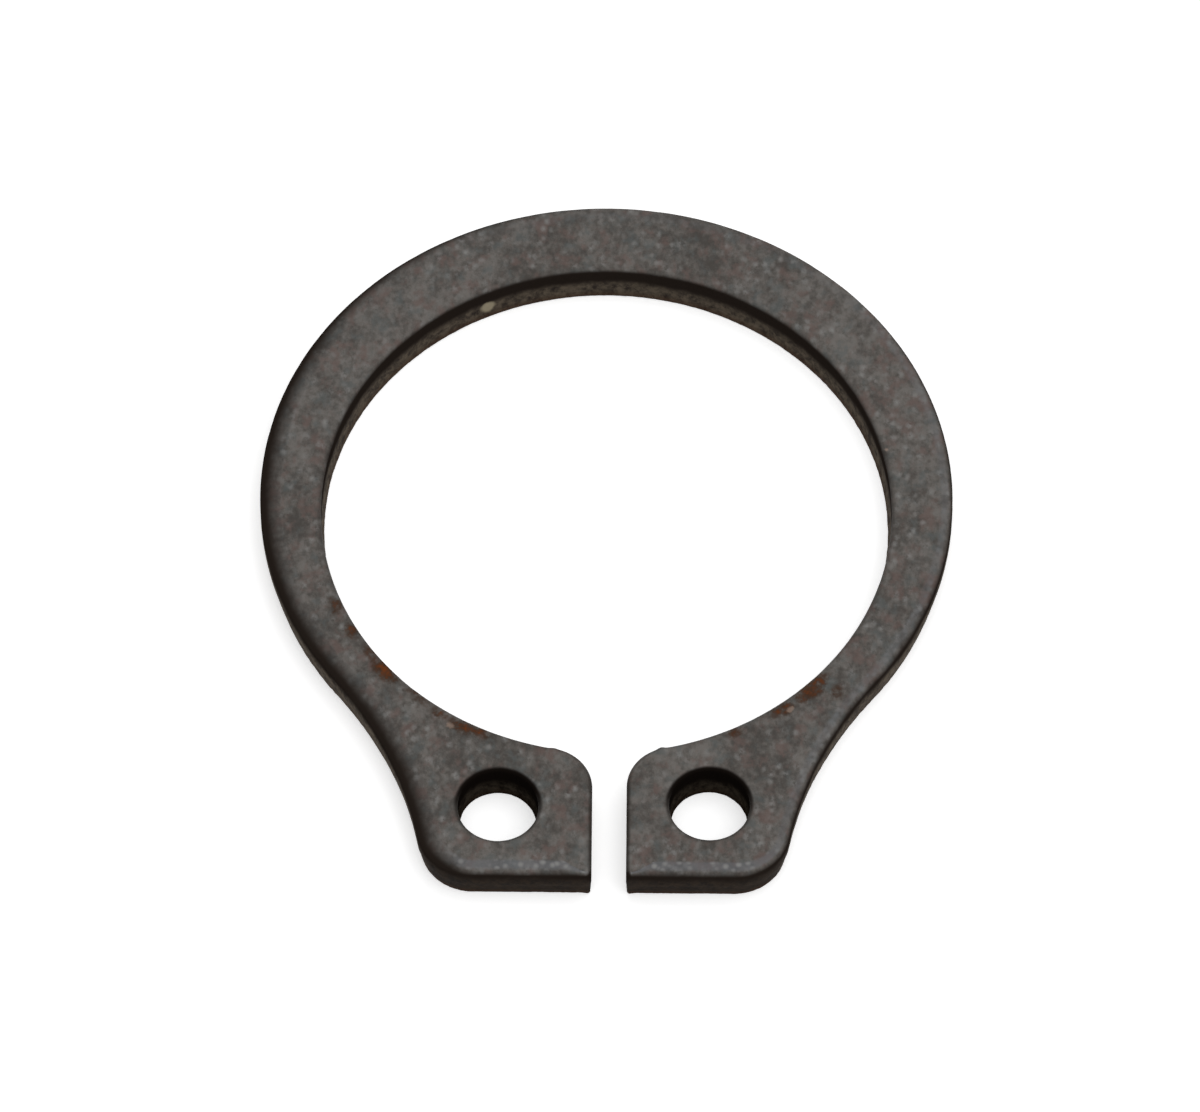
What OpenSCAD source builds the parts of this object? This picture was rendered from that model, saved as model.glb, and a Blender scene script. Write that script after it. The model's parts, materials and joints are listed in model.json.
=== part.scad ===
// External circlip (retaining ring) for an 18 mm shaft, blanked from 1.2 mm spring steel strip.
// The ring lies flat on its bottom face. The origin is the centre of the bore in the plane of
// that face, +Z runs up through the bore, and the lugs point to -Y.
// All lengths are in millimetres, with the ring relaxed.

/* [Bow] */
// Inside diameter of the relaxed ring
bore_d = 16.5; // [15.5:0.1:17.5]
// Width of the bow opposite the lugs, where it is widest
back_w = 2.3; // [1.9:0.05:2.8]
// Width that the tapering bow would come down to between the lugs
front_w = 1.26; // [1:0.02:1.5]
// Thickness of the strip
thickness = 1.2; // [1:0.05:1.6]

/* [Lugs] */
// Distance from the bore to the end of the lugs
lug_reach = 4.12; // [3.7:0.02:4.6]
// Half of the width across both lugs at their end corners
lug_half_w = 5.32; // [5:0.02:5.8]
// Radius of the outer end corner of a lug
lug_corner_r = 1.6; // [1:0.05:2]
// Radius of the hollow flank that leads from the bow into a lug
flank_r = 12.3; // [9:0.1:20]

/* [Gap] */
// Width of the gap between the lugs
gap_w = 0.98; // [0.7:0.02:1.4]
// How far the gap sits to the right of the middle of the lugs
gap_offset = 0.16; // [-0.3:0.02:0.3]
// Radius of the corner that leads from the bore into the gap
mouth_r = 1.3; // [0.6:0.05:1.6]
// Radius of the corner between the gap and the end of a lug
tip_r = 0.16; // [0.05:0.01:0.4]

/* [Plier holes] */
// Diameter of the plier holes
hole_d = 2.3; // [1.8:0.05:2.5]
// Distance between the centres of the plier holes
hole_pitch = 6.02; // [5.6:0.02:6.4]
// Distance from the bore to the centre of a plier hole
hole_setback = 1.76; // [1.5:0.02:2.2]

/* [Stamped edges] */
// Width of the rolled strip along the outer top edge, where the die drew the metal down
roll_w = 0.18; // [0.08:0.01:0.3]
// Depth of the outer roll below the top face
roll_h = 0.14; // [0.06:0.01:0.25]
// Width and depth of the slight edge break round the bore, the gap and the holes
break_w = 0.08; // [0.04:0.01:0.12]
// Height of the broken, inward-leaning part of the outer wall above the bottom face
fracture_h = 0.68; // [0.3:0.02:0.7]
// How far the broken wall has drawn in at the bottom face
fracture_in = 0.13; // [0.03:0.01:0.2]

/* [Hidden] */
$fn = 160;
// Room by which every cut runs past the metal, less than the gap is wide
spare = 0.3;
// Depth by which each curve of the outline laps over the next, so that the two cross and never
// merely touch
lap = 0.002;
// How far the section of an edge tool runs on past the corner that it cuts
lead = 0.03;
// Radius of a rolled edge's arc as a share of the chord that the arc spans
crown = 1.1;

bore_r = bore_d / 2;
hole_r = hole_d / 2;
end_y = -(bore_r + lug_reach);

// The outer edge of the bow is a circle set back from the bore's centre, which tapers the bow
bow_r = bore_r + (back_w + front_w) / 2;
bow_c = [0, (back_w - front_w) / 2];

// Centres of the right lug's end corner and of the flank circle, which laps over bow and corner
corner_c = [lug_half_w - lug_corner_r, end_y + lug_corner_r - lap];
flank_c = third_centre(bow_c, corner_c, bow_r + flank_r - lap, lug_corner_r + flank_r - lap);

// Centre that lies da from a and db from b, to the left of the way from a to b
function third_centre(a, b, da, db) =
    let (d = norm(b - a), u = (b - a) / d, s = (da * da - db * db + d * d) / (2 * d))
    a + s * u + sqrt(da * da - s * s) * [-u.y, u.x];

// Direction from a to b in degrees
function heading(a, b) = atan2(b.y - a.y, b.x - a.x);

// Side of the gap in x: s is 1 on the right, -1 on the left
function gap_x(s) = gap_offset + s * gap_w / 2;

// Centre of the rounded mouth beside that side of the gap, which laps over the gap and the bore
function mouth_c(s) =
    let (x = gap_x(s) + s * (mouth_r - lap)) [x, -sqrt(pow(bore_r + mouth_r - lap, 2) - x * x)];

// What the press takes away outside the bow, which ends where it meets the flanks
module outside_bow() {
    top = bow_c.y + bow_r + 2 * spare;
    difference() {
        polygon([bow_c, flank_c, [flank_c.x, top], [-flank_c.x, top], [-flank_c.x, flank_c.y]]);
        translate(bow_c) circle(bow_r);
    }
}

// What it takes away beside the right lug: the hollow flank, and below it round the end corner
module beside_lug() {
    low = min(flank_c.y, end_y) - spare;
    translate(flank_c) circle(flank_r);
    difference() {
        polygon([corner_c, flank_c, [flank_c.x, low], [corner_c.x, low]]);
        translate(corner_c) circle(lug_corner_r);
    }
}

// What it takes away between the lugs: the funnel between the mouths, the gap and round its tips
module between_lugs() {
    difference() {
        polygon([[0, 0], mouth_c(1), mouth_c(-1)]);
        for (s = [-1, 1]) translate(mouth_c(s)) circle(mouth_r);
    }
    translate([gap_x(-1), end_y - spare])
        square([gap_w, mouth_c(1).y + mouth_r / 2 - end_y + spare]);
    for (s = [-1, 1]) difference() {
        translate([s > 0 ? gap_x(1) - spare : gap_x(-1) - tip_r + lap, end_y - spare])
            square(spare + tip_r - lap);
        translate([gap_x(s) + s * (tip_r - lap), end_y + tip_r - lap]) circle(tip_r);
    }
}

// The ring seen from above: a piece of strip, less all that the press takes away
module outline() {
    difference() {
        translate([-bow_r - spare, end_y])
            square([2 * (bow_r + spare), bow_c.y + bow_r + spare - end_y]);
        outside_bow();
        beside_lug();
        mirror([1, 0]) beside_lug();
        circle(bore_r);
        between_lugs();
    }
}

// Section of what is missing at a top edge w wide and h deep. The wall stands at x = 0 with the
// metal to the left of it.
module rolled_edge(w, h) {
    r = crown * norm([w, h]);
    translate([0, thickness]) difference() {
        translate([-w - lead, -h - lead]) square([w + lead + spare, h + lead + spare]);
        translate(third_centre([0, -h], [-w, 0], r, r)) circle(r);
    }
}

// Section of what is missing at the foot of an outer wall, where the strip broke away
module fractured_foot() {
    out = spare * fracture_in / fracture_h;
    polygon([
        [out, fracture_h + spare], [-fracture_in - out, -spare],
        [spare, -spare], [spare, fracture_h + spare]
    ]);
}

// Sweeps a section round c along a hollow edge, where the metal lies outside the circle
module round_hollow(c, r) {
    translate(c) rotate_extrude() translate([r, 0]) mirror([1, 0]) children();
}

// Sweeps a section round c along an outward curve, from the heading of p to the heading of q
module round_outside(c, r, p, q) {
    turn = heading(c, q) - heading(c, p);
    translate(c) rotate([0, 0, heading(c, p)])
        rotate_extrude(angle = turn > 0 ? turn : turn + 360) translate([r, 0]) children();
}

// Sweeps a section from p along a straight wall, which faces the heading out and runs to its right
module along_wall(p, out, run) {
    translate(p) rotate([90, 0, out]) linear_extrude(run) children();
}

// Sweeps a section along the whole outer wall
module along_outside() {
    round_outside(bow_c, bow_r, flank_c, [-flank_c.x, flank_c.y]) children();
    for (s = [0, 1]) mirror([s, 0, 0]) {
        round_hollow(flank_c, flank_r) children();
        round_outside(corner_c, lug_corner_r, [corner_c.x, end_y], flank_c) children();
    }
    along_wall([lug_half_w, end_y], -90, 2 * lug_half_w) children();
}

// Sweeps a section along the walls of the bore, the mouths and the gap
module along_inside() {
    run = mouth_c(1).y + mouth_r / 2 - end_y + spare;
    round_hollow([0, 0], bore_r) children();
    round_outside(mouth_c(1), mouth_r, [0, 0], [gap_x(1), mouth_c(1).y]) children();
    round_outside(mouth_c(-1), mouth_r, [gap_x(-1), mouth_c(-1).y], [0, 0]) children();
    along_wall([gap_x(1), end_y - spare], 180, run) children();
    along_wall([gap_x(-1), end_y - spare + run], 0, run) children();
}

// The two holes that take the tips of circlip pliers, with the slight break of their top edges
module plier_holes() {
    for (s = [-1, 1]) translate([s * hole_pitch / 2, -(bore_r + hole_setback), 0]) {
        translate([0, 0, -spare]) cylinder(h = thickness + 2 * spare, r = hole_r);
        round_hollow([0, 0], hole_r) rolled_edge(break_w, break_w);
    }
}

// The whole ring, one piece of phosphated spring steel
module retaining_ring() color("dimgray") difference() {
    linear_extrude(thickness) outline();
    along_outside() rolled_edge(roll_w, roll_h);
    along_outside() fractured_foot();
    along_inside() rolled_edge(break_w, break_w);
    plier_holes();
}

retaining_ring();
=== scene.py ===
"""A phosphated spring-steel circlip, lying on a pale studio floor as it does in the photograph."""

import json
import logging
import math
from dataclasses import dataclass, field, replace
from enum import Enum
from typing import Any, ClassVar, Union

import bmesh
import bpy
from mathutils import Matrix, Vector


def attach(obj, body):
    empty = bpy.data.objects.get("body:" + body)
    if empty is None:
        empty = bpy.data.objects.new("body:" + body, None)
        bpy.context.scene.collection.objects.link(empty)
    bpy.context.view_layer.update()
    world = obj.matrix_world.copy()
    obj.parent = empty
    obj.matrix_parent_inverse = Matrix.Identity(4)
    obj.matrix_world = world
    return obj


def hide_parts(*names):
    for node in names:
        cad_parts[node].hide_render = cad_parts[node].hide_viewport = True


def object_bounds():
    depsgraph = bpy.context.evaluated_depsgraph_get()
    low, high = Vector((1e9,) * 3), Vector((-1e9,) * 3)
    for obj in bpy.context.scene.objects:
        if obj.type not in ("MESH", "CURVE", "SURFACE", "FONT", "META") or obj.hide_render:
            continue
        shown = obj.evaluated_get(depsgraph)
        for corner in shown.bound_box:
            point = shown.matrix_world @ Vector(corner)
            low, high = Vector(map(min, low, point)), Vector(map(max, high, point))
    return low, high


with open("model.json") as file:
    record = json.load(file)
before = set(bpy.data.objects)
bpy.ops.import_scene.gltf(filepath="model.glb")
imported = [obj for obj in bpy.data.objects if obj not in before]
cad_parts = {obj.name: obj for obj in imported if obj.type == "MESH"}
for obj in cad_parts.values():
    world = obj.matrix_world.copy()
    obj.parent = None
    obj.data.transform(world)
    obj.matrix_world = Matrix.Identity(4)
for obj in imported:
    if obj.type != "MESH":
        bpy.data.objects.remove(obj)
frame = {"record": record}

log = logging.getLogger("circlip")

CAD_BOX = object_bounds()
MM = 0.001
SEED = 7

Number = Union[float, "Socket"]
Range = tuple[float, float]


# Node trees, written as expressions

class Socket:
    """An output of a node, on which arithmetic adds Math nodes to the same tree."""

    def __init__(self, graph: "Graph", output: bpy.types.NodeSocket) -> None:
        """Wraps one output.

        Args:
            graph: The tree that the output belongs to.
            output: Blender's own socket.
        """
        self.graph = graph
        self.output = output

    def _math(self, operation: str, *values: Number) -> "Socket":
        """Adds a Math node.

        Args:
            operation: Blender's name of the operation.
            values: Its inputs, in order.

        Returns:
            The node's result.
        """
        return self.graph.node("ShaderNodeMath", {"operation": operation}, *values)

    def __add__(self, other: Number) -> "Socket":
        """Sum."""
        return self._math("ADD", self, other)

    def __radd__(self, other: Number) -> "Socket":
        """Sum, with the number first."""
        return self._math("ADD", other, self)

    def __sub__(self, other: Number) -> "Socket":
        """Difference."""
        return self._math("SUBTRACT", self, other)

    def __rsub__(self, other: Number) -> "Socket":
        """Difference, with the number first."""
        return self._math("SUBTRACT", other, self)

    def __mul__(self, other: Number) -> "Socket":
        """Product."""
        return self._math("MULTIPLY", self, other)

    def __rmul__(self, other: Number) -> "Socket":
        """Product, with the number first."""
        return self._math("MULTIPLY", other, self)

    def at_most(self, other: Number) -> "Socket":
        """The smaller of the two."""
        return self._math("MINIMUM", self, other)

    def at_least(self, other: Number) -> "Socket":
        """The larger of the two."""
        return self._math("MAXIMUM", self, other)

    def clear_of(self, low: float, high: float) -> "Socket":
        """Rises smoothly from 0 at low to 1 at high.

        Args:
            low: Value at which it leaves 0.
            high: Value at which it reaches 1; where high is below low, it falls instead.

        Returns:
            The smooth step.
        """
        if high < low:
            return 1.0 - self.clear_of(high, low)
        smooth = {"interpolation_type": "SMOOTHSTEP"}
        return self.graph.node("ShaderNodeMapRange", smooth, self, low, high, 0.0, 1.0)


class Graph:
    """A node tree that is being built."""

    def __init__(self, tree: bpy.types.NodeTree) -> None:
        """Takes over an empty tree.

        Args:
            tree: The tree to fill.
        """
        self.tree = tree

    def node(
        self, kind: str, settings: dict[str, Any], *values: Any, out: Union[int, str] = 0, **named: Any
    ) -> Socket:
        """Adds a node of any type.

        Args:
            kind: Blender's name of the node type.
            settings: Properties of the node, which are set first.
            values: Its first inputs in order; None leaves one as it is.
            out: The output that is wanted, by number or name.
            named: Further inputs by name, with _ for a space.

        Returns:
            The wanted output.
        """
        made = self.tree.nodes.new(kind)
        for name, value in settings.items():
            setattr(made, name, value)
        for place, value in enumerate(values):
            self._feed(made.inputs[place], value)
        for name, value in named.items():
            self._feed(self._input(made, name.replace("_", " ")), value)
        wanted = made.outputs[out] if isinstance(out, int) else self._output(made, out)
        return Socket(self, wanted)

    def other(self, socket: Socket, name: str) -> Socket:
        """Another output of the node that a socket comes from, by name."""
        return Socket(self, self._output(socket.output.node, name))

    def ramp(self, factor: Socket, stops: list[tuple[float, tuple[float, float, float]]]) -> Socket:
        """A colour ramp.

        Args:
            factor: What drives it.
            stops: Pairs of a place from 0 to 1 and a linear colour.

        Returns:
            The colour.
        """
        colour = self.node("ShaderNodeValToRGB", {}, factor)
        elements = colour.output.node.color_ramp.elements
        while len(elements) < len(stops):
            elements.new(1.0)
        for element, (place, rgb) in zip(elements, stops):
            element.position = place
            element.color = (*rgb, 1.0)
        return colour

    def blend(self, factor: Number, a: Any, b: Any) -> Socket:
        """A colour between a and b.

        Args:
            factor: 0 gives a and 1 gives b.
            a: First colour, as a socket or three numbers.
            b: Second colour.

        Returns:
            The mixed colour.
        """
        mixed = self.tree.nodes.new("ShaderNodeMix")
        mixed.data_type = "RGBA"
        for place, value in ((0, factor), (6, a), (7, b)):
            self._feed(mixed.inputs[place], value)
        return Socket(self, mixed.outputs[2])

    def _feed(self, wanted: bpy.types.NodeSocket, value: Any) -> None:
        """Links a socket to an input, or sets the input to a plain value.

        Args:
            wanted: Blender's own input.
            value: What it gets; None leaves it as it is.
        """
        if value is None:
            return
        if isinstance(value, Socket):
            self.tree.links.new(value.output, wanted)
        elif wanted.type == "RGBA" and len(value) == 3:
            wanted.default_value = (*value, 1.0)
        else:
            wanted.default_value = value

    @staticmethod
    def _input(made: bpy.types.Node, name: str) -> bpy.types.NodeSocket:
        """The enabled input of that name."""
        return next(s for s in made.inputs if s.name == name and s.enabled)

    @staticmethod
    def _output(made: bpy.types.Node, name: str) -> bpy.types.NodeSocket:
        """The enabled output of that name."""
        return next(s for s in made.outputs if s.name == name and s.enabled)


@dataclass(frozen=True)
class Pattern:
    """A noise: its waves in a millimetre, its octaves, what each finer one keeps, and its shift."""

    waves: float
    octaves: float
    keeps: float
    shift: float

    def at(self, graph: Graph, point: Socket, seed: Number) -> Socket:
        """The noise at a point.

        Args:
            graph: The tree that it belongs to.
            point: Place in millimetres.
            seed: The tree's seed, to which the shift is added.

        Returns:
            The noise, from 0 to 1.
        """
        values = (point, seed + self.shift, self.waves, self.octaves, self.keeps)
        return graph.node("ShaderNodeTexNoise", {"noise_dimensions": "4D"}, *values)


# The outline that the press cuts, in millimetres. An edge is told by four shares: how far it is
# rolled over as the outer edge is, how far its fracture is drawn in, how much painted shade
# darkens its wall, and how far its foot swells into the opening.

Shares = tuple[float, float, float, float]

OUTER: Shares = (1.0, 1.0, 0.0, 0.0)
TIP: Shares = (0.0, 1.0, 0.0, 0.0)
GAP: Shares = (0.0, 0.0, 0.0, 0.0)
BORE: Shares = (0.0, 0.0, 0.0, 1.0)
# The holes' third share gives their walls painted shade.
HOLE: Shares = (0.0, 0.0, 1.0, 0.8)


@dataclass(frozen=True)
class Station:
    """A point of a cut edge, seen from above, with its shares and the deepest inset that it takes."""

    place: Vector
    inward: Vector
    edge: Vector
    room: float = 0.0


@dataclass(frozen=True)
class Burr:
    """A tiny tooth that the press left on the outline, in millimetres. Below 0 it is a nick."""

    x: float
    y: float
    reach: float
    width: float

    def shifted(self, place: Vector, inward: Vector) -> Vector:
        """Where a point of the outline comes to lie.

        Args:
            place: The point.
            inward: The way into the metal there.

        Returns:
            The point with the tooth in it.
        """
        away = (place - flat(self.x, self.y)).length / self.width
        return place - inward * self.reach * math.exp(-away * away)


@dataclass(frozen=True)
class Arc:
    """A round stretch of the outline. It turns left round metal, and right round a hollow."""

    centre: Vector
    radius: float
    start: float
    end: float
    edge: Shares
    edge_end: Shares | None = None

    def stations(self, pitch: float, finest: float) -> list[Station]:
        """Points along the arc, without its last.

        Args:
            pitch: Longest step in millimetres.
            finest: Largest turn of one step in degrees.

        Returns:
            The stations.
        """
        turn = self.end - self.start
        length = abs(math.radians(turn)) * self.radius
        steps = max(math.ceil(length / pitch), math.ceil(abs(turn) / finest))
        found = []
        for step in range(steps):
            angle = math.radians(self.start + turn * step / steps)
            out = Vector((math.cos(angle), math.sin(angle), 0.0))
            edge = Vector(self.edge).lerp(Vector(self.edge_end or self.edge), step / steps)
            found.append(Station(self.centre + self.radius * out, -out if turn > 0 else out, edge))
        return found


@dataclass(frozen=True)
class Line:
    """A straight stretch of the outline, with the metal on its left."""

    start: Vector
    end: Vector
    edge: Shares
    edge_end: Shares | None = None

    def stations(self, pitch: float, finest: float) -> list[Station]:
        """Points along the line, without its last.

        Args:
            pitch: Longest step in millimetres.
            finest: Unused, as a line doesn't turn.

        Returns:
            The stations.
        """
        way = self.end - self.start
        inward = Vector((-way.y, way.x, 0.0)).normalized()
        steps = math.ceil(way.length / pitch)
        last = Vector(self.edge_end or self.edge)
        return [
            Station(self.start + way * (k / steps), inward, Vector(self.edge).lerp(last, k / steps))
            for k in range(steps)
        ]


Stretch = Union[Arc, Line]


def heading(start: Vector, end: Vector) -> float:
    """Direction from start to end in degrees."""
    return math.degrees(math.atan2(end.y - start.y, end.x - start.x))


def flat(x: float, y: float) -> Vector:
    """A point in the plane of the outline."""
    return Vector((x, y, 0.0))


@dataclass
class Outline:
    """The circlip's outline. What the frame tells is read from it, and the rest is named here."""

    lug_half_w: float = 5.32
    lug_corner_r: float = 1.6
    flank_r: float = 12.3
    gap_w: float = 0.98
    gap_offset: float = 0.16
    mouth_r: float = 1.3
    tip_r: float = 0.16
    hole_lifts: tuple[float, float] = (-0.05, 0.04)
    fade: float = 0.5
    tip_share: float = 0.75
    pitch: float = 0.06
    finest: float = 6.0
    burrs: tuple[Burr, ...] = (
        Burr(-7.98, -1.27, 0.1, 0.09),
        Burr(-1.45, -8.21, 0.05, 0.12),
        Burr(1.63, -8.11, 0.05, 0.12),
    )
    bore_r: float = field(init=False)
    hole_r: float = field(init=False)
    hole_centres: list[Vector] = field(init=False)
    bow_r: float = field(init=False)
    bow_c: Vector = field(init=False)
    end_y: float = field(init=False)
    thickness: float = field(init=False)

    def __post_init__(self) -> None:
        """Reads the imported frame's own sizes."""
        low, high = (Vector(corner) / MM for corner in CAD_BOX)
        mounts = {mount["name"]: mount for mount in frame["record"]["mounts"]}
        holes = mounts["plier_holes"]
        self.bore_r = mounts["shaft_grip"]["dims"]["r_mm"]
        self.hole_r = holes["dims"]["hole_r_mm"]
        half = holes["dims"]["spacing_x_mm"] / 2
        hole_y = holes["pos_m"][1] / MM
        self.hole_centres = [
            flat(side * half, hole_y + lift) for side, lift in zip((-1, 1), self.hole_lifts)
        ]
        self.bow_r = (high.x - low.x) / 2
        self.bow_c = flat(0.0, high.y - self.bow_r)
        self.end_y = low.y
        self.thickness = high.z - low.z

    def _flank_centre(self, corner: Vector) -> Vector:
        """Centre of the right flank's circle, which touches the bow and the lug's corner.

        Args:
            corner: Centre of the lug's corner.

        Returns:
            The centre.
        """
        way = corner - self.bow_c
        from_bow = self.bow_r + self.flank_r
        from_corner = self.lug_corner_r + self.flank_r
        along = (from_bow**2 - from_corner**2 + way.length**2) / (2 * way.length)
        unit = way.normalized()
        return self.bow_c + along * unit + math.sqrt(from_bow**2 - along**2) * flat(-unit.y, unit.x)

    def _tip_centre(self, side: int) -> Vector:
        """Centre of the tight corner where that side of the gap ends."""
        return flat(self.gap_offset + side * (self.gap_w / 2 + self.tip_r), self.end_y + self.tip_r)

    def _mouth_centre(self, side: int) -> Vector:
        """Centre of the rounded mouth on one side of the gap: 1 is right, -1 left."""
        x = self.gap_offset + side * (self.gap_w / 2 + self.mouth_r)
        return flat(x, -math.sqrt((self.bore_r + self.mouth_r) ** 2 - x * x))

    def outer_stretches(self) -> list[Stretch]:
        """The outline, counter-clockwise round the metal, from the right end of the bow.

        Returns:
            The stretches, each of which begins where the one before it ends.
        """
        corner = flat(self.lug_half_w - self.lug_corner_r, self.end_y + self.lug_corner_r)
        flank = self._flank_centre(corner)
        left_corner, left_flank = flat(-corner.x, corner.y), flat(-flank.x, flank.y)
        gap_right = self.gap_offset + self.gap_w / 2
        gap_left = gap_right - self.gap_w
        right, left = self._mouth_centre(1), self._mouth_centre(-1)
        left_tip, right_tip = self._tip_centre(-1), self._tip_centre(1)
        origin = flat(0.0, 0.0)
        to_flank = heading(self.bow_c, flank)
        up_right = heading(corner, flank)
        down_left = heading(left_flank, left_corner)
        bore_start = heading(origin, left) + 360.0
        fade_left = flat(left_tip.x - self.fade, self.end_y)
        fade_right = flat(right_tip.x + self.fade, self.end_y)
        return [
            Arc(self.bow_c, self.bow_r, to_flank, 180.0 - to_flank, OUTER),
            Arc(left_flank, self.flank_r, 180.0 - heading(flank, self.bow_c), down_left, OUTER),
            Arc(left_corner, self.lug_corner_r, 180.0 - up_right, 270.0, OUTER),
            Line(flat(left_corner.x, self.end_y), fade_left, OUTER),
            Line(fade_left, flat(left_tip.x, self.end_y), OUTER, TIP),
            Arc(left_tip, self.tip_r, -90.0, 0.0, TIP, GAP),
            Line(flat(gap_left, left_tip.y), flat(gap_left, left.y), GAP),
            Arc(left, self.mouth_r, 0.0, heading(left, origin), GAP, BORE),
            Arc(origin, self.bore_r, bore_start, heading(origin, right), BORE),
            Arc(right, self.mouth_r, heading(right, origin), 180.0, BORE, GAP),
            Line(flat(gap_right, right.y), flat(gap_right, right_tip.y), GAP),
            Arc(right_tip, self.tip_r, 180.0, 270.0, GAP, TIP),
            Line(flat(right_tip.x, self.end_y), fade_right, TIP, OUTER),
            Line(fade_right, flat(corner.x, self.end_y), OUTER),
            Arc(corner, self.lug_corner_r, -90.0, up_right, OUTER),
            Arc(flank, self.flank_r, heading(flank, corner), heading(flank, self.bow_c), OUTER),
        ]

    def loops(self) -> list[list[Station]]:
        """The stations of every closed edge.

        Returns:
            The outline's stations, and then those of the two plier holes.
        """
        stretches = [self.outer_stretches()]
        stretches += [[Arc(centre, self.hole_r, 360.0, 0.0, HOLE)] for centre in self.hole_centres]
        return [self._walked(loop) for loop in stretches]

    def _walked(self, stretches: list[Stretch]) -> list[Station]:
        """The stations of one closed edge, with its burrs and the room that it has at a tight tip.

        Args:
            stretches: The edge's stretches in order.

        Returns:
            The stations.
        """
        tips = [self._tip_centre(side) for side in (-1, 1)]
        found = []
        for stretch in stretches:
            for station in stretch.stations(self.pitch, self.finest):
                room = self.tip_share * min((station.place - tip).length for tip in tips)
                place = station.place
                for burr in self.burrs:
                    place = burr.shifted(place, station.inward)
                found.append(replace(station, place=place, room=room))
        return found

    def guide(self) -> bpy.types.Mesh:
        """A mesh of edges alone that runs through all stations and carries what they hold.

        Returns:
            The mesh, in millimetres.
        """
        loops = self.loops()
        stations = [station for loop in loops for station in loop]
        edges: list[tuple[int, int]] = []
        first = 0
        for loop in loops:
            count = len(loop)
            edges += [(first + k, first + (k + 1) % count) for k in range(count)]
            first += count
        mesh = bpy.data.meshes.new("outline_guide")
        mesh.from_pydata([s.place for s in stations], edges, [])
        for name, kind, key, values in (
            ("home", "FLOAT_VECTOR", "vector", [c for s in stations for c in s.place]),
            ("inward", "FLOAT_VECTOR", "vector", [c for s in stations for c in s.inward]),
            ("rolled", "FLOAT", "value", [s.edge.x for s in stations]),
            ("drawn", "FLOAT", "value", [s.edge.y for s in stations]),
            ("sooty", "FLOAT", "value", [s.edge.z for s in stations]),
            ("swollen", "FLOAT", "value", [s.edge.w for s in stations]),
            ("room", "FLOAT", "value", [s.room for s in stations]),
        ):
            mesh.attributes.new(name, kind, "POINT").data.foreach_set(key, values)
        return mesh


# The ring itself

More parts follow.
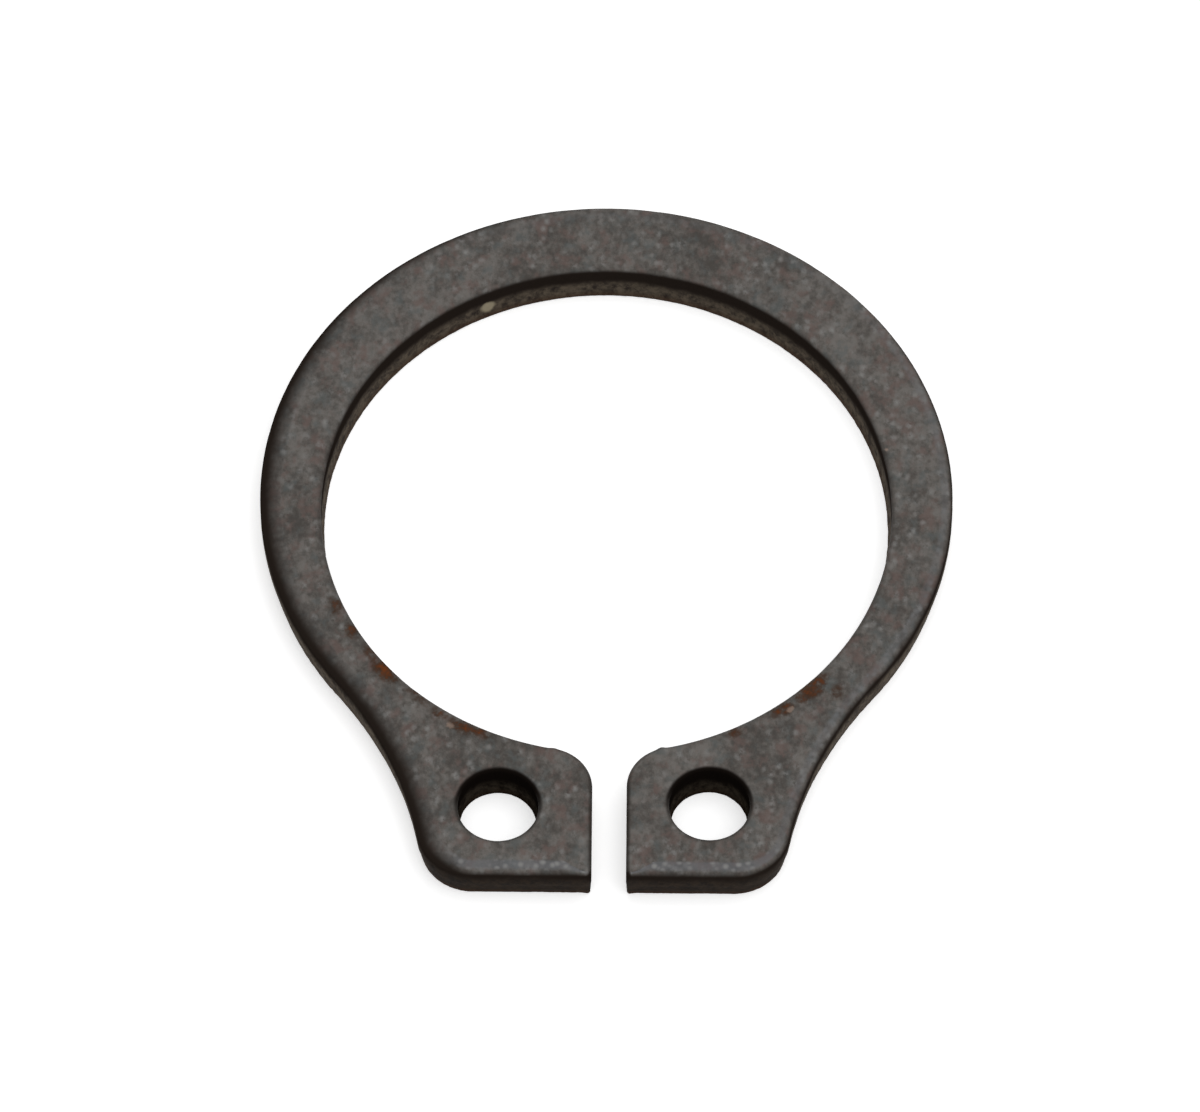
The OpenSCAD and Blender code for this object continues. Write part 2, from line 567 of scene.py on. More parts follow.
@dataclass
class StampedRing:
    """The whole circlip: its outline with the section that the press leaves along every edge."""

    FLAT: ClassVar[float] = -0.3

    outline: Outline = field(default_factory=Outline)
    roll_w: float = 0.43
    roll_h: float = 0.14
    die_offset: float = 0.3
    unevenness: float = 0.12
    break_w: float = 0.13
    fracture_h: float = 0.68
    fracture_in: float = 0.11
    bore_fracture_h: float = 0.58
    bore_fracture_in: float = 0.02
    swollen_in: float = -0.09
    foot_w: float = 0.03
    margin: float = 0.12
    ragged: float = 0.022
    waver: float = 0.02
    roll_wave: Pattern = Pattern(0.8, 3.0, 0.6, 0.0)
    tear_wave: Pattern = Pattern(1.3, 3.0, 0.6, 3.0)
    land_wave: Pattern = Pattern(3.0, 3.0, 0.6, 5.0)
    tooth_wave: Pattern = Pattern(5.0, 3.0, 0.6, 11.0)
    foot_wave: Pattern = Pattern(4.0, 3.0, 0.6, 41.0)
    sway_wave: Pattern = Pattern(1.1, 3.0, 0.6, 60.0)
    tooth_shift: float = 3.1
    roll_steps: int = 7
    tear_steps: int = 6
    body: bpy.types.Object = field(init=False)

    def _inputs(self, tree: bpy.types.NodeTree) -> dict[str, tuple[str, Any]]:
        """Args:
            tree: The empty geometry tree.

        Returns:
            Each input's identifier and value by its name.
        """
        sizes = {
            "Thickness": self.outline.thickness,
            "Roll width": self.roll_w,
            "Roll depth": self.roll_h,
            "Die offset": self.die_offset,
            "Unevenness": self.unevenness,
            "Edge break": self.break_w,
            "Fracture height": self.fracture_h,
            "Bore fracture height": self.bore_fracture_h,
            "Fracture draw": self.fracture_in,
            "Bore draw": self.bore_fracture_in,
            "Swollen draw": self.swollen_in,
            "Foot width": self.foot_w,
            "Flat margin": self.margin,
            "Raggedness": self.ragged,
            "Waver": self.waver,
            "Seed": float(SEED),
            "Scale": MM,
        }
        tree.interface.new_socket("Geometry", in_out="INPUT", socket_type="NodeSocketGeometry")
        tree.interface.new_socket("Geometry", in_out="OUTPUT", socket_type="NodeSocketGeometry")
        named = {}
        for name, value in sizes.items():
            made = tree.interface.new_socket(name, in_out="INPUT", socket_type="NodeSocketFloat")
            named[name] = (made.identifier, value)
        made = tree.interface.new_socket("Finish", in_out="INPUT", socket_type="NodeSocketMaterial")
        named["Finish"] = (made.identifier, None)
        return named

    @staticmethod
    def _told(graph: Graph, name: str, kind: str = "FLOAT") -> Socket:
        """One of the guide's attributes."""
        return graph.node("GeometryNodeInputNamedAttribute", {"data_type": kind}, name)

    def _section(self, graph: Graph, size: dict[str, Socket]) -> list[tuple[Number, Number, float]]:
        """The cut edge's section, from the top face over the wall to the bottom face.

        Args:
            graph: The geometry tree.
            size: The tree's inputs by name.

        Returns:
            For each point how far it lies in from the wall, its height, and how far it is round the
            edge: FLAT on a face, rising to 0 where the roll begins and to 1 on the wall.
        """
        rolled, drawn, swollen = (self._told(graph, name) for name in ("rolled", "drawn", "swollen"))
        home = self._told(graph, "home", "FLOAT_VECTOR")
        inward = self._told(graph, "inward", "FLOAT_VECTOR")

        def between(inner: Socket, outer: Socket, share: Socket) -> Socket:
            """A size that changes from one kind of wall to another."""
            return inner + (outer - inner) * share

        def noise(wave: Pattern, step: int = 0) -> Socket:
            """Noise from -1 to 1 along the edge, shifted further with each step."""
            shifted = replace(wave, shift=wave.shift + self.tooth_shift * step)
            return (shifted.at(graph, home, size["Seed"]) - 0.5) * 2.0

        side = graph.node("ShaderNodeSeparateXYZ", {}, inward, out="X")
        leaning = size["Roll width"] * (1.0 + size["Die offset"] * side)
        width = between(size["Edge break"], leaning, rolled)
        width = width * (1.0 + size["Unevenness"] * noise(self.roll_wave))
        depth = between(size["Edge break"], size["Roll depth"], rolled)
        draw = between(size["Bore draw"], size["Fracture draw"], drawn)
        draw = between(draw, size["Swollen draw"], swollen)
        top = size["Thickness"]
        ragged = size["Raggedness"]
        points: list[tuple[Number, Number, float]] = [(width + size["Flat margin"], top, self.FLAT)]
        for step in range(self.roll_steps + 1):
            share = step / self.roll_steps
            turn = math.radians(90.0 * share)
            inset, drop = width * (1.0 - math.sin(turn)), depth * (1.0 - math.cos(turn))
            points.append((inset, top - drop, share))
        tear_z = between(size["Bore fracture height"], size["Fracture height"], drawn)
        tear_z = tear_z + 2.0 * ragged * noise(self.tear_wave)
        points.append((0.2 * ragged * noise(self.land_wave).at_least(0.0), tear_z, 1.0))
        for step in range(1, self.tear_steps + 1):
            share = step / self.tear_steps
            tooth = noise(self.tooth_wave, step).at_least(-0.4)
            height = tear_z * (1.0 - share) + size["Foot width"] * share
            points.append((draw * share + ragged * (tooth + 0.4), height, 1.0))
        foot = draw + 0.6 * ragged + 0.6 * ragged * noise(self.foot_wave)
        sway = size["Waver"] * noise(self.sway_wave).at_least(0.0)
        points.append((foot + 0.3 * size["Foot width"], 0.3 * size["Foot width"], 1.0))
        points.append((foot + size["Foot width"], 0.0, 1.0))
        points.append((foot + size["Foot width"] + size["Flat margin"], 0.0, self.FLAT))
        return [(inset + sway, height, round_edge) for inset, height, round_edge in points]

    def _place(self, graph: Graph, inset: Number, height: Number) -> Socket:
        """Where a point of the section lies.

        Args:
            graph: The geometry tree.
            inset: How far in from the wall.
            height: How high above the floor.

        Returns:
            The position.
        """
        home = self._told(graph, "home", "FLOAT_VECTOR")
        inward = self._told(graph, "inward", "FLOAT_VECTOR")
        depth = self._same(graph, self._told(graph, "room").at_most(inset))
        moved = graph.node("ShaderNodeVectorMath", {"operation": "MULTIPLY_ADD"}, inward, depth, home)
        lifted = graph.node("ShaderNodeCombineXYZ", {}, 0.0, 0.0, height)
        return graph.node("ShaderNodeVectorMath", {"operation": "ADD"}, moved, lifted)

    @staticmethod
    def _same(graph: Graph, value: Number) -> Socket:
        """A vector with the same number three times."""
        return graph.node("ShaderNodeCombineXYZ", {}, value, value, value)

    @staticmethod
    def _marked(graph: Graph, geometry: Socket, selection: Any, value: float) -> Socket:
        """Stores on the selected points how far round the edge they are.

        Args:
            graph: The geometry tree.
            geometry: What holds the points.
            selection: The points; None for all.
            value: How far round the edge.

        Returns:
            The geometry.
        """
        return graph.node(
            "GeometryNodeStoreNamedAttribute", {"data_type": "FLOAT", "domain": "POINT"},
            geometry, selection, "edge", value,
        )

    def _cap(self, graph: Graph, loops: Socket, selection: Any, height: Number) -> Socket:
        """Fills the inside of the edge loops with a flat face.

        Args:
            graph: The geometry tree.
            loops: Geometry that holds the loops.
            selection: The loops' edges.
            height: Height of the face.

        Returns:
            The face.
        """
        curves = graph.node("GeometryNodeMeshToCurve", {}, loops, selection)
        filled = graph.node("GeometryNodeFillCurve", {}, curves)
        lifted = graph.node("ShaderNodeCombineXYZ", {}, 0.0, 0.0, height)
        raised = graph.node("GeometryNodeSetPosition", {}, filled, None, None, lifted)
        return self._marked(graph, raised, None, self.FLAT)

    def _tree(self) -> tuple[bpy.types.NodeTree, dict[str, tuple[str, Any]]]:
        """Builds the geometry tree that sweeps the section along the outline and closes both faces.

        Returns:
            The tree, and its inputs' identifiers and values by name.
        """
        tree = bpy.data.node_groups.new("stamped_edge", "GeometryNodeTree")
        named = self._inputs(tree)
        graph = Graph(tree)
        entry = graph.node("NodeGroupInput", {})
        size = {name: graph.other(entry, name) for name in named}
        section = self._section(graph, size)
        inset, height, round_edge = section[0]
        place = self._place(graph, inset, height)
        walls = graph.node("GeometryNodeSetPosition", {}, entry, None, place)
        walls = self._marked(graph, walls, None, round_edge)
        top = self._cap(graph, walls, None, height)
        edge: Any = None
        for inset, height, round_edge in section[1:]:
            walls = graph.node("GeometryNodeExtrudeMesh", {"mode": "EDGES"}, walls, edge, None, 0.0)
            edge = graph.other(walls, "Top")
            place = self._place(graph, inset, height)
            walls = graph.node("GeometryNodeSetPosition", {}, walls, edge, place)
            walls = self._marked(graph, walls, edge, round_edge)
        bottom = self._cap(graph, walls, edge, height)
        joined = graph.node("GeometryNodeJoinGeometry", {}, walls)
        for cap in (top, bottom):
            tree.links.new(cap.output, joined.output.node.inputs[0])
        closed = graph.node("GeometryNodeMergeByDistance", {}, joined, Distance=0.001)
        closed = graph.node("GeometryNodeSetShadeSmooth", {}, closed)
        metres = self._same(graph, size["Scale"])
        scaled = graph.node("GeometryNodeTransform", {}, closed, Scale=metres)
        real = graph.node("GeometryNodeRealizeInstances", {}, scaled)
        finished = graph.node("GeometryNodeSetMaterial", {}, real, Material=size["Finish"])
        leave = tree.nodes.new("NodeGroupOutput")
        tree.links.new(finished.output, leave.inputs[0])
        return tree, named

    def build(self, finish: bpy.types.Material) -> bpy.types.Object:
        """Makes the ring as one closed mesh.

        Args:
            finish: The steel's material.

        Returns:
            The finished object.
        """
        guide = bpy.data.objects.new("outline_guide", self.outline.guide())
        bpy.context.scene.collection.objects.link(guide)
        tree, named = self._tree()
        modifier = guide.modifiers.new("stamped_edge", "NODES")
        modifier.node_group = tree
        for name, (identifier, value) in named.items():
            modifier[identifier] = finish if name == "Finish" else value
        depsgraph = bpy.context.evaluated_depsgraph_get()
        mesh = bpy.data.meshes.new_from_object(guide.evaluated_get(depsgraph), depsgraph=depsgraph)
        mesh.name = "circlip"
        guide.modifiers.remove(modifier)
        bpy.data.objects.remove(guide)
        self._turn_outwards(mesh)
        self.body = bpy.data.objects.new("circlip", mesh)
        bpy.context.scene.collection.objects.link(self.body)
        return self.body

    @staticmethod
    def _turn_outwards(mesh: bpy.types.Mesh) -> None:
        """Turns every face outwards and reports whether the mesh is closed.

        Args:
            mesh: The ring's mesh, whose faces are changed.
        """
        work = bmesh.new()
        work.from_mesh(mesh)
        bmesh.ops.recalc_face_normals(work, faces=work.faces)
        if work.calc_volume(signed=True) < 0:
            bmesh.ops.reverse_faces(work, faces=work.faces)
        open_edges = sum(len(edge.link_faces) != 2 for edge in work.edges)
        volume = work.calc_volume() / MM**3
        log.info("ring mesh: %d faces, %d open edges, %.1f mm3", len(work.faces), open_edges, volume)
        work.to_mesh(mesh)
        work.free()

    def dress(self) -> None:
        """Ties the ring to its body and hides the CAD node that it stands in for."""
        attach(self.body, "root")
        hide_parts("retaining_ring")


# Finishes

Colour = tuple[float, float, float]
BLACK: Colour = (0.0, 0.0, 0.0)


def srgb(red: float, green: float, blue: float) -> Colour:
    """The linear colour of a colour on the screen.

    Args:
        red: Screen value from 0 to 255.
        green: The same for green.
        blue: The same for blue.

    Returns:
        The linear colour.
    """
    def linear(value: float) -> float:
        """One channel."""
        share = value / 255.0
        return share / 12.92 if share <= 0.04045 else ((share + 0.055) / 1.055) ** 2.4
    return linear(red), linear(green), linear(blue)


@dataclass(frozen=True)
class Spot:
    """An oval spot that lies along the bore: its bearing in degrees, the rest in millimetres."""

    bearing: float
    radius: float
    length: float
    width: float
    strength: float

    def nearness(self, graph: Graph, bearing: Socket, radius: Socket) -> Socket:
        """How far inside the spot a point is.

        Args:
            graph: The material's tree.
            bearing: The point's own bearing in radians.
            radius: Its distance from the bore's axis.

        Returns:
            0 outside, rising to the spot's strength at its middle.
        """
        along = (bearing - math.radians(self.bearing)) * (self.radius / self.length)
        across = (radius - self.radius) * (1.0 / self.width)
        offset = graph.node("ShaderNodeCombineXYZ", {}, along, across, 0.0)
        away = graph.node("ShaderNodeVectorMath", {"operation": "LENGTH"}, offset, out="Value")
        return away.clear_of(1.0, 0.0) * self.strength


@dataclass(frozen=True)
class Surface:
    """What the finish goes by: the place in millimetres, and what the mesh tells of its edges.

    edge is below 0 on the flat faces and rises over the roll to 1 on the walls. drawn is 1 on the
    outer wall and 0 on the inner ones. The plier holes' share is 1 in the plier holes and 0 elsewhere,
    and marks their walls for painted shade. The last two are the way into the metal.
    """

    point: Socket
    x: Socket
    y: Socket
    z: Socket
    edge: Socket
    drawn: Socket
    sooty: Socket
    inward_x: Socket
    inward_y: Socket

    @classmethod
    def read(cls, graph: Graph) -> "Surface":
        """Reads the Object coordinates and the ring's attributes.

        Args:
            graph: The material's tree.

        Returns:
            The surface.
        """
        place = graph.node("ShaderNodeTexCoord", {}, out="Object")
        point = graph.node("ShaderNodeVectorMath", {"operation": "SCALE"}, place, Scale=1.0 / MM)
        x = graph.node("ShaderNodeSeparateXYZ", {}, point, out="X")
        edge, drawn, sooty = (
            graph.node("ShaderNodeAttribute", {"attribute_name": name}, out="Fac")
            for name in ("edge", "drawn", "sooty")
        )
        inward = graph.node("ShaderNodeAttribute", {"attribute_name": "inward"}, out="Vector")
        inward_x = graph.node("ShaderNodeSeparateXYZ", {}, inward, out="X")
        return cls(
            point, x, graph.other(x, "Y"), graph.other(x, "Z"), edge, drawn, sooty,
            inward_x, graph.other(inward_x, "Y"),
        )


@dataclass(frozen=True)
class Zones:
    """Shares from 0 to 1 that tell the ring's stretches apart, and a noise that makes them uneven.

    FRONT and NECK are ranges in millimetres, from the lugs' ends and from where the bore meets the
    lugs. BACK is a range in shares of the bow's radius, and UPPER in shares of the thickness.
    """

    FRONT: ClassVar[Range] = (1.5, 0.5)
    NECK: ClassVar[Range] = (0.55, -0.25)
    BACK: ClassVar[Range] = (0.3, 0.9)
    UPPER: ClassVar[Range] = (0.5, 0.6)
    WANDER: ClassVar[Pattern] = Pattern(1.6, 3.0, 0.6, 9.0)

    left: Socket
    facing: Socket
    back: Socket
    front: Socket
    lugs: Socket
    upper: Socket
    wander: Socket

    @classmethod
    def read(cls, graph: Graph, at: Surface, outline: Outline) -> "Zones":
        """Works the zones out.

        Args:
            graph: The material's tree.
            at: The surface.
            outline: The ring's outline.

        Returns:
            The zones.
        """
        neck = -outline.bore_r
        return cls(
            left=at.inward_x.clear_of(0.0, 0.8) * at.drawn,
            facing=at.inward_y.clear_of(-0.4, 0.5),
            back=at.y.clear_of(*(share * outline.bow_r for share in cls.BACK)),
            front=at.y.clear_of(*(outline.end_y + past for past in cls.FRONT)),
            lugs=at.y.clear_of(*(neck + past for past in cls.NECK)) * (1.0 - at.drawn),
            upper=at.z.clear_of(*(share * outline.thickness for share in cls.UPPER)),
            wander=cls.WANDER.at(graph, at.point, SEED) - 0.5,
        )


@dataclass(frozen=True)
class Look:
    """Colour, roughness and relief of a surface, and from 0 to 1 how little it shines."""

    colour: Socket
    rough: Socket
    relief: Socket
    dull: Number = 0.0


@dataclass(frozen=True)
class PhosphatedSteel:
    """Dark, matt manganese-phosphated steel: mottled, with pale specks painted as glints, painted shade
    and a painted highlight on its cut edges, and rust spots beside the bore.
    """

    dark: Colour = srgb(60, 56, 52)
    mid: Colour = srgb(82, 78, 74)
    pale: Colour = srgb(102, 98, 94)
    # painted glint: pale specks that stand for the sparkle of the coating's crystals
    speck: Colour = srgb(126, 125, 123)
    cool: Colour = srgb(76, 82, 82)
    warm: Colour = srgb(93, 76, 71)
    # painted highlight on the rolled outer lip
    rim: Colour = srgb(96, 98, 102)
    rust: Colour = srgb(108, 56, 24)
    old_rust: Colour = srgb(62, 42, 28)
    # dark of the burnished land together with painted shade on the walls
    land: Colour = srgb(37, 31, 27)
    tear: Colour = srgb(92, 82, 70)
    # fracture colour at the lugs' front ends, darkened as painted shade
    front_tear: Colour = srgb(44, 35, 27)
    chipped: Colour = srgb(150, 140, 118)
    scuff: Colour = srgb(138, 120, 108)
    cloud: Pattern = Pattern(0.45, 2.0, 0.5, 1.0)
    mottle: Pattern = Pattern(2.4, 3.0, 0.6, 2.0)
    grain: Pattern = Pattern(6.5, 3.0, 0.65, 3.0)
    tint: Pattern = Pattern(2.5, 3.0, 0.55, 4.0)
    crowd: Pattern = Pattern(1.1, 2.0, 0.5, 5.0)
    crumbs: Pattern = Pattern(4.6, 4.0, 0.7, 12.0)
    rust_patch: Pattern = Pattern(3.0, 4.0, 0.65, 20.0)
    rust_grain: Pattern = Pattern(7.0, 3.0, 0.6, 23.0)
    rolling: tuple[float, float, float] = (1.0, 0.84, 1.0)
    fleck_cells: float = 3.4
    shine_cells: float = 4.4
    tear_rise: float = 0.24
    tear_fade: Range = (-0.16, 0.2)
    foot_rust_z: Range = (0.3, 0.02)
    spot_z: Range = (0.4, 0.8)
    bump: float = 0.02
    chip_place: tuple[float, float, float] = (-3.53, 7.46, 0.47)
    chip_r: float = 0.26
    chip_core_r: float = 0.1
    rust_spots: tuple[Spot, ...] = (
        Spot(-156.2, 8.5, 0.6, 0.36, 0.65),
        Spot(-149.4, 8.45, 0.45, 0.34, 0.85),
        Spot(-142.3, 8.4, 0.8, 0.34, 0.6),
        Spot(-138.4, 8.44, 0.8, 0.46, 1.0),
        Spot(-129.6, 8.42, 0.9, 0.3, 0.55),
        Spot(-123.9, 8.46, 0.5, 0.3, 0.7),
        Spot(-118.7, 8.5, 0.7, 0.4, 0.95),
        Spot(-115.0, 8.45, 0.6, 0.3, 0.7),
        Spot(-45.6, 8.5, 1.0, 0.5, 1.05),
        Spot(-43.4, 9.05, 0.6, 0.5, 0.45),
        Spot(-53.2, 8.49, 0.65, 0.38, 0.9),
        Spot(-63.8, 8.45, 0.4, 0.26, 0.85),
    )
    scuffs: tuple[Spot, ...] = (
        Spot(-120.7, 8.64, 0.28, 0.16, 0.8),
        Spot(-52.0, 8.62, 0.2, 0.14, 1.0),
        Spot(14.5, 8.38, 0.1, 0.1, 1.0),
    )

    def material(self, ring: StampedRing) -> bpy.types.Material:
        """Builds the node material.

        Args:
            ring: The ring, for the heights of its land and fracture.

        Returns:
            The material.
        """
        made = bpy.data.materials.new("phosphated_steel")
        made.use_nodes = True
        made.node_tree.nodes.clear()
        graph = Graph(made.node_tree)
        at = Surface.read(graph)
        look = self._coat(graph, at)
        look = self._wall(graph, at, ring, look)
        look = self._rusted(graph, at, look)
        relief = graph.node(
            "ShaderNodeBump", {}, None, Strength=0.5, Distance=self.bump * MM, Height=look.relief
        )
        coat = graph.node(
            "ShaderNodeBsdfPrincipled", {}, Base_Color=look.colour, Roughness=look.rough, Normal=relief,
            Metallic=0.15, Specular_IOR_Level=0.2, IOR=1.5,
        )
        bare = graph.node(
            "ShaderNodeBsdfPrincipled", {}, Base_Color=look.colour, Roughness=look.rough, Normal=relief,
            Metallic=0.0, Specular_IOR_Level=0.0,
        )
        shader = graph.node("ShaderNodeMixShader", {}, look.dull, coat, bare)
        leave = made.node_tree.nodes.new("ShaderNodeOutputMaterial")
        made.node_tree.links.new(shader.output, leave.inputs["Surface"])
        return made

    @staticmethod
    def _dots(graph: Graph, point: Socket, cells: float) -> Socket:
        """Distance from the nearest of many scattered dots, with that many cells in a millimetre."""
        return graph.node("ShaderNodeTexVoronoi", {}, Vector=point, Scale=cells, Randomness=1.0)

    def _coat(self, graph: Graph, at: Surface) -> Look:
        """The coating as it is on a flat face: cloudy and mottled, with fine pale specks painted as
        glints.

        Args:
            graph: The material's tree.
            at: The surface.

        Returns:
            The coating's look.
        """
        point = graph.node("ShaderNodeVectorMath", {"operation": "MULTIPLY"}, at.point, self.rolling)
        cloud, mottle, grain, tint, crowd = (
            pattern.at(graph, point, SEED)
            for pattern in (self.cloud, self.mottle, self.grain, self.tint, self.crowd)
        )
        mixed = 0.25 * cloud + 0.42 * mottle + 0.33 * grain
        stops = [(0.0, self.dark), (0.5, self.mid), (1.0, self.pale)]
        colour = graph.ramp(mixed.clear_of(0.375, 0.625), stops)
        colour = graph.blend(tint.clear_of(0.52, 0.69) * 0.5, colour, self.cool)
        colour = graph.blend(tint.clear_of(0.5, 0.33) * 0.6, colour, self.warm)
        # Pale specks painted as glints of the coating's crystals.
        glint_flecks = self._dots(graph, point, self.fleck_cells).clear_of(0.5, 0.0) * grain.clear_of(0.3, 0.6)
        colour = graph.blend(glint_flecks * crowd.clear_of(0.32, 0.6) * 0.75, colour, self.speck)
        return Look(colour, 0.42 + 0.2 * mottle + 0.1 * grain, 0.6 * grain + 0.5 * mottle)

    @staticmethod
    def _burnt(at: Surface, zone: Zones) -> Socket:
        """Where the wall is black: the die's burnished land and part of the way over the roll, with
        painted shade that carries it further on the left side, near the lugs and on inner walls facing
        the front.

        Args:
            at: The surface.
            zone: Its zones.

        Returns:
            The share of black, burnish and painted shade together.
        """
        # Painted shade: the black reaches further on the left side and near the lugs, and less far at
        # the back of the bow.
        reach = at.edge - 0.3 + 0.5 * zone.left + 0.4 * zone.lugs + 0.2 * zone.wander
        reach = reach * (1.8 - 0.55 * zone.left) - 0.3 * zone.back * at.drawn
        # Painted shade: inner walls that face the front are blackened fully, the others only in part.
        shaded = zone.facing + (1.0 - zone.facing) * (0.25 + 0.75 * at.drawn)
        return (reach.clear_of(0.0, 1.0) * shaded).at_least(at.edge.clear_of(0.8, 0.98))

    @staticmethod
    def _shoulder(at: Surface, zone: Zones) -> Socket:
        """Painted highlight where the outer edge begins to roll over, fainter on the left and at the
        back of the bow.

        Args:
            at: The surface.
            zone: Its zones.

        Returns:
            The share of painted highlight.
        """
        lip = at.edge.clear_of(-0.25, 0.05) * at.edge.clear_of(0.5, 0.25)
        return zone.upper * lip * at.drawn * (1.0 - 0.8 * zone.left) * (1.0 - 0.6 * zone.back)

    def _fracture(self, graph: Graph, at: Surface, zone: Zones, crumbs: Socket) -> Socket:
        """The crumbly colour of the broken wall, which rusts towards the foot, with painted shade on the
        lugs' front walls.

        Args:
            graph: The material's tree.
            at: The surface.
            zone: Its zones.
            crumbs: The crumbs' noise.

        Returns:
            The colour.
        """
        # Painted shade: the walls at the lugs' front ends are darker, both the fracture and the land.
        pale = graph.blend(zone.front, self.tear, self.front_tear)
        front_shaded_land = graph.blend(zone.front * 0.55, self.land, BLACK)
        colour = graph.blend(crumbs.clear_of(0.3, 0.66), front_shaded_land, pale)
        return graph.blend(at.z.clear_of(*self.foot_rust_z) * 0.7, colour, self.old_rust)

    def _wall(self, graph: Graph, at: Surface, ring: StampedRing, coat: Look) -> Look:
        """Paints a highlight and glints on the shoulder of the roll, blackens the sheared land with
        painted shade mixed in, and roughens the fracture.

        Args:
            graph: The material's tree.
            at: The surface.
            ring: The ring, for its heights.
            coat: The coating's look.

        Returns:
            The look with the walls in it.
        """
        zone = Zones.read(graph, at, ring.outline)
        burnish_and_shade, lip_highlight = self._burnt(at, zone), self._shoulder(at, zone)
        # The inner openings' edge break is darkened towards the dark wall colour near the top.
        dimmed_break = zone.upper * at.edge.clear_of(-0.3, 0.6) * (1.0 - at.drawn)
        outer_rise = ring.fracture_h + self.tear_rise - ring.bore_fracture_h
        tear_h = ring.bore_fracture_h + outer_rise * at.drawn
        torn = (tear_h - at.z - 0.3 * zone.wander).clear_of(*self.tear_fade)
        crumbs = self.crumbs.at(graph, at.point, SEED)
        # Painted highlight and glints on the rolled outer lip, strongest at the lugs' front ends.
        shine = self._dots(graph, at.point, self.shine_cells).clear_of(0.55, 0.1)
        colour = graph.blend(lip_highlight * (0.22 + 0.3 * zone.front + 0.2 * shine), coat.colour, self.rim)
        colour = graph.blend(lip_highlight * shine * (0.15 + 0.7 * zone.front), colour, self.speck)
        colour = graph.blend(dimmed_break * 0.35, colour, self.land)
        walled = graph.blend(torn, self.land, self._fracture(graph, at, zone, crumbs))
        colour = graph.blend(burnish_and_shade, colour, walled)
        # Painted shade: the walls inside the plier holes are blackened further.
        colour = graph.blend(burnish_and_shade * at.sooty * 0.58, colour, BLACK)
        chip = graph.node(
            "ShaderNodeVectorMath", {"operation": "DISTANCE"}, at.point, self.chip_place, out="Value"
        )
        chip = (chip + 0.3 * zone.wander).clear_of(self.chip_r, self.chip_core_r)
        return Look(
            graph.blend(chip, colour, self.chipped),
            coat.rough + burnish_and_shade * (0.22 * torn - 0.08),
            coat.relief + 1.2 * crumbs * burnish_and_shade * torn,
            burnish_and_shade * (1.0 - 0.4 * torn * (1.0 - at.sooty)),
        )

    def _rusted(self, graph: Graph, at: Surface, under: Look) -> Look:
        """Lays the rust spots and the scuffs beside them over the coating.

        Args:
            graph: The material's tree.
            at: The surface.
            under: The look under the rust.

        Returns:
            The look with the rust in it.
        """
        bearing = graph.node("ShaderNodeMath", {"operation": "ARCTAN2"}, at.y, at.x)
        level = graph.node("ShaderNodeCombineXYZ", {}, at.x, at.y, 0.0)
        radius = graph.node("ShaderNodeVectorMath", {"operation": "LENGTH"}, level, out="Value")
        upper = at.z.clear_of(*self.spot_z)
        rusty: Number = 0.0
        for spot in self.rust_spots:
            rusty = spot.nearness(graph, bearing, radius).at_least(rusty)
        bared: Number = 0.0
        for spot in self.scuffs:
            bared = spot.nearness(graph, bearing, radius).at_least(bared)
        patchy = self.rust_patch.at(graph, at.point, SEED) - 0.5
        fine = self.rust_grain.at(graph, at.point, SEED) - 0.5
        stained = (1.3 * rusty + 2.2 * patchy + 2.0 * fine).clear_of(-0.15, 1.15)
        stained = stained * rusty.clear_of(0.0, 0.45) * upper
        core = (rusty + 1.6 * patchy + 3.2 * fine).clear_of(0.4, 1.7)
        core = core * rusty.clear_of(0.2, 0.8) * upper
        bare = (bared + 2.0 * fine).clear_of(0.1, 0.9) * bared.clear_of(0.0, 0.3) * upper
        colour = graph.blend(stained * 0.8, under.colour, self.old_rust)
        colour = graph.blend(core * 0.9, colour, self.rust)
        colour = graph.blend(bare * 0.7, colour, self.scuff)
        dull = (0.9 * stained).at_least(under.dull)
        return Look(colour, under.rough + 0.2 * stained, under.relief, dull)


class Tone(Enum):
    """The studio's own colours."""

    FLOOR = srgb(236, 236, 236)
    WHITE = srgb(255, 255, 255)


def sees_backdrop(graph: Graph) -> Socket:
    """Tells the rays that see the backdrop as plain white: the camera's, off gloss and through glass.

    Args:
        graph: The floor's or the world's tree.

    Returns:
        1 for those rays, and 0 for all others.
    """
    path = graph.node("ShaderNodeLightPath", {}, out="Is Camera Ray")
    glossy, through = graph.other(path, "Is Glossy Ray"), graph.other(path, "Is Transmission Ray")
    return path.at_least(glossy).at_least(through)


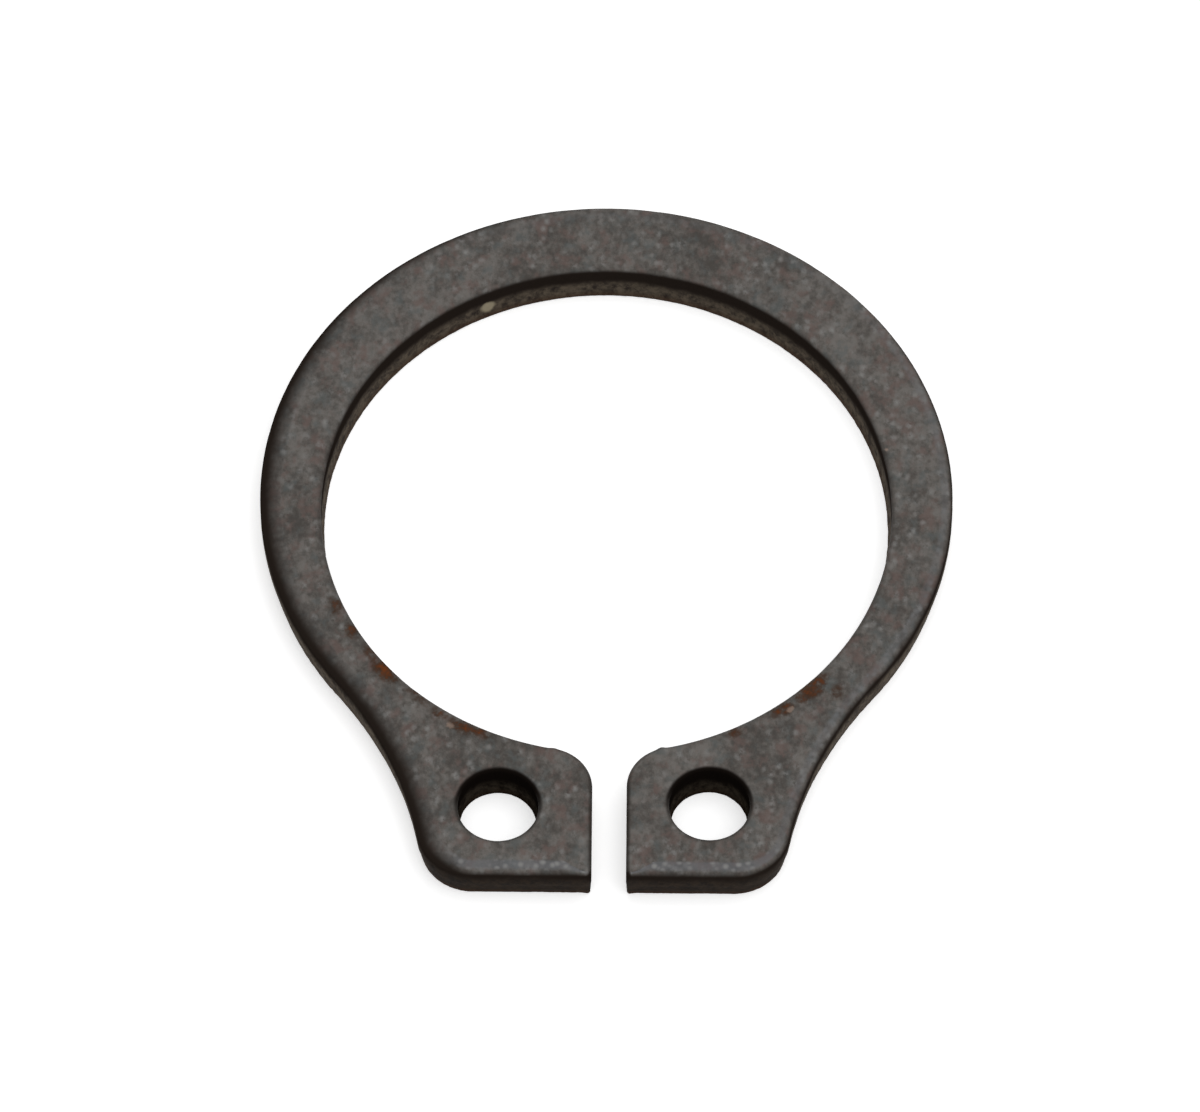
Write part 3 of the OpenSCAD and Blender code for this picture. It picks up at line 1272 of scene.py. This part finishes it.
@dataclass(frozen=True)
class PaleFloor:
    """A plain white floor that the camera sees as white, with the ring's shadow on it."""

    half: float = 0.6
    below: float = 0.01 * MM
    glow: float = 0.5

    def material(self) -> bpy.types.Material:
        """Builds the floor's material.

        Returns:
            The material.
        """
        made = bpy.data.materials.new("studio_floor")
        made.use_nodes = True
        made.node_tree.nodes.clear()
        graph = Graph(made.node_tree)
        matt = graph.node("ShaderNodeBsdfDiffuse", {}, Tone.FLOOR.value)
        light = graph.node("ShaderNodeEmission", {}, Tone.WHITE.value, self.glow)
        both = graph.node("ShaderNodeAddShader", {}, matt, light)
        mixed = graph.node("ShaderNodeMixShader", {}, sees_backdrop(graph), matt, both)
        leave = made.node_tree.nodes.new("ShaderNodeOutputMaterial")
        made.node_tree.links.new(mixed.output, leave.inputs["Surface"])
        return made

    def build(self) -> bpy.types.Object:
        """Makes the floor, just under the ring.

        Returns:
            The floor's object.
        """
        mesh = bpy.data.meshes.new("floor")
        h, z = self.half, -self.below
        mesh.from_pydata([(-h, -h, z), (h, -h, z), (h, h, z), (-h, h, z)], [], [(0, 1, 2, 3)])
        mesh.materials.append(self.material())
        floor = bpy.data.objects.new("floor", mesh)
        bpy.context.scene.collection.objects.link(floor)
        return floor


# Studio

@dataclass(frozen=True)
class SoftBox:
    """A large, even lamp that points at the ring."""

    name: str
    azimuth: float
    elevation: float
    distance: float
    size: float
    power: float

    def build(self) -> bpy.types.Object:
        """Makes the lamp.

        Returns:
            The lamp's object.
        """
        lamp = bpy.data.lights.new(self.name, "AREA")
        lamp.shape = "SQUARE"
        lamp.size = self.size
        lamp.energy = self.power
        around, up = math.radians(self.azimuth), math.radians(self.elevation)
        way = Vector((math.sin(around) * math.cos(up), -math.cos(around) * math.cos(up), math.sin(up)))
        placed = bpy.data.objects.new(self.name, lamp)
        placed.location = way * self.distance
        placed.rotation_euler = way.to_track_quat("Z", "Y").to_euler()
        bpy.context.scene.collection.objects.link(placed)
        return placed


@dataclass(frozen=True)
class Studio:
    """Soft light from all round, the lamps, and white where the camera looks past the floor."""

    sky: float = 0.42
    lamps: tuple[SoftBox, ...] = (
        SoftBox("lamp_key", 80.0, 74.0, 0.9, 1.1, 3.9),
        SoftBox("lamp_back", 175.0, 60.0, 0.9, 0.7, 0.7),
        SoftBox("lamp_front", 10.0, 60.0, 0.9, 0.6, 0.8),
    )

    def build(self) -> None:
        """Makes the world and the lamps."""
        world = bpy.data.worlds.new("studio_world")
        world.use_nodes = True
        world.node_tree.nodes.clear()
        graph = Graph(world.node_tree)
        glow = graph.node("ShaderNodeBackground", {}, Tone.WHITE.value, self.sky)
        white = graph.node("ShaderNodeBackground", {}, Tone.WHITE.value, 1.0)
        mixed = graph.node("ShaderNodeMixShader", {}, sees_backdrop(graph), glow, white)
        leave = world.node_tree.nodes.new("ShaderNodeOutputWorld")
        world.node_tree.links.new(mixed.output, leave.inputs["Surface"])
        bpy.context.scene.world = world
        for lamp in self.lamps:
            lamp.build()


@dataclass(frozen=True)
class Viewpoint:
    """The photograph's camera, as fitted to the ring's circles in it."""

    target: tuple[float, float, float] = (-0.172, -1.650, 1.2)
    elevation: float = 57.568
    roll: float = 0.533
    distance: float = 331.76
    focal_px: float = 11501.2
    width_px: int = 1200
    sensor_mm: float = 36.0

    def build(self) -> bpy.types.Object:
        """Makes the camera and gives it to the scene.

        Returns:
            The camera's object.
        """
        lens = bpy.data.cameras.new("photo_camera")
        lens.sensor_fit = "HORIZONTAL"
        lens.sensor_width = self.sensor_mm
        lens.lens = self.focal_px / self.width_px * self.sensor_mm
        lens.clip_start = 0.01
        lens.clip_end = 10.0
        lens.dof.use_dof = False
        up = math.radians(self.elevation)
        back = Vector((0.0, -math.cos(up), math.sin(up)))
        right = Vector((1.0, 0.0, 0.0))
        above = back.cross(right)
        turn = math.radians(self.roll)
        turned_right = math.cos(turn) * right + math.sin(turn) * above
        turned_above = math.cos(turn) * above - math.sin(turn) * right
        camera = bpy.data.objects.new("photo_camera", lens)
        facing = Matrix((turned_right, turned_above, back)).transposed().to_4x4()
        place = (Vector(self.target) + back * self.distance) * MM
        camera.matrix_world = Matrix.Translation(place) @ facing
        bpy.context.scene.collection.objects.link(camera)
        bpy.context.scene.camera = camera
        return camera


def main() -> None:
    """Builds the studio and the ring in order."""
    logging.basicConfig(level=logging.INFO, format="%(message)s")
    bpy.context.scene.view_settings.view_transform = "Standard"
    Viewpoint().build()
    log.info("camera placed")
    PaleFloor().build()
    Studio().build()
    log.info("floor, lamps and sky made")
    ring = StampedRing()
    ring.build(PhosphatedSteel().material(ring))
    ring.dress()
    corners = sum(len(loop) for loop in ring.outline.loops())
    log.info("circlip made, %d corners on its cut edges", corners)


if __name__ == "__main__":
    main()
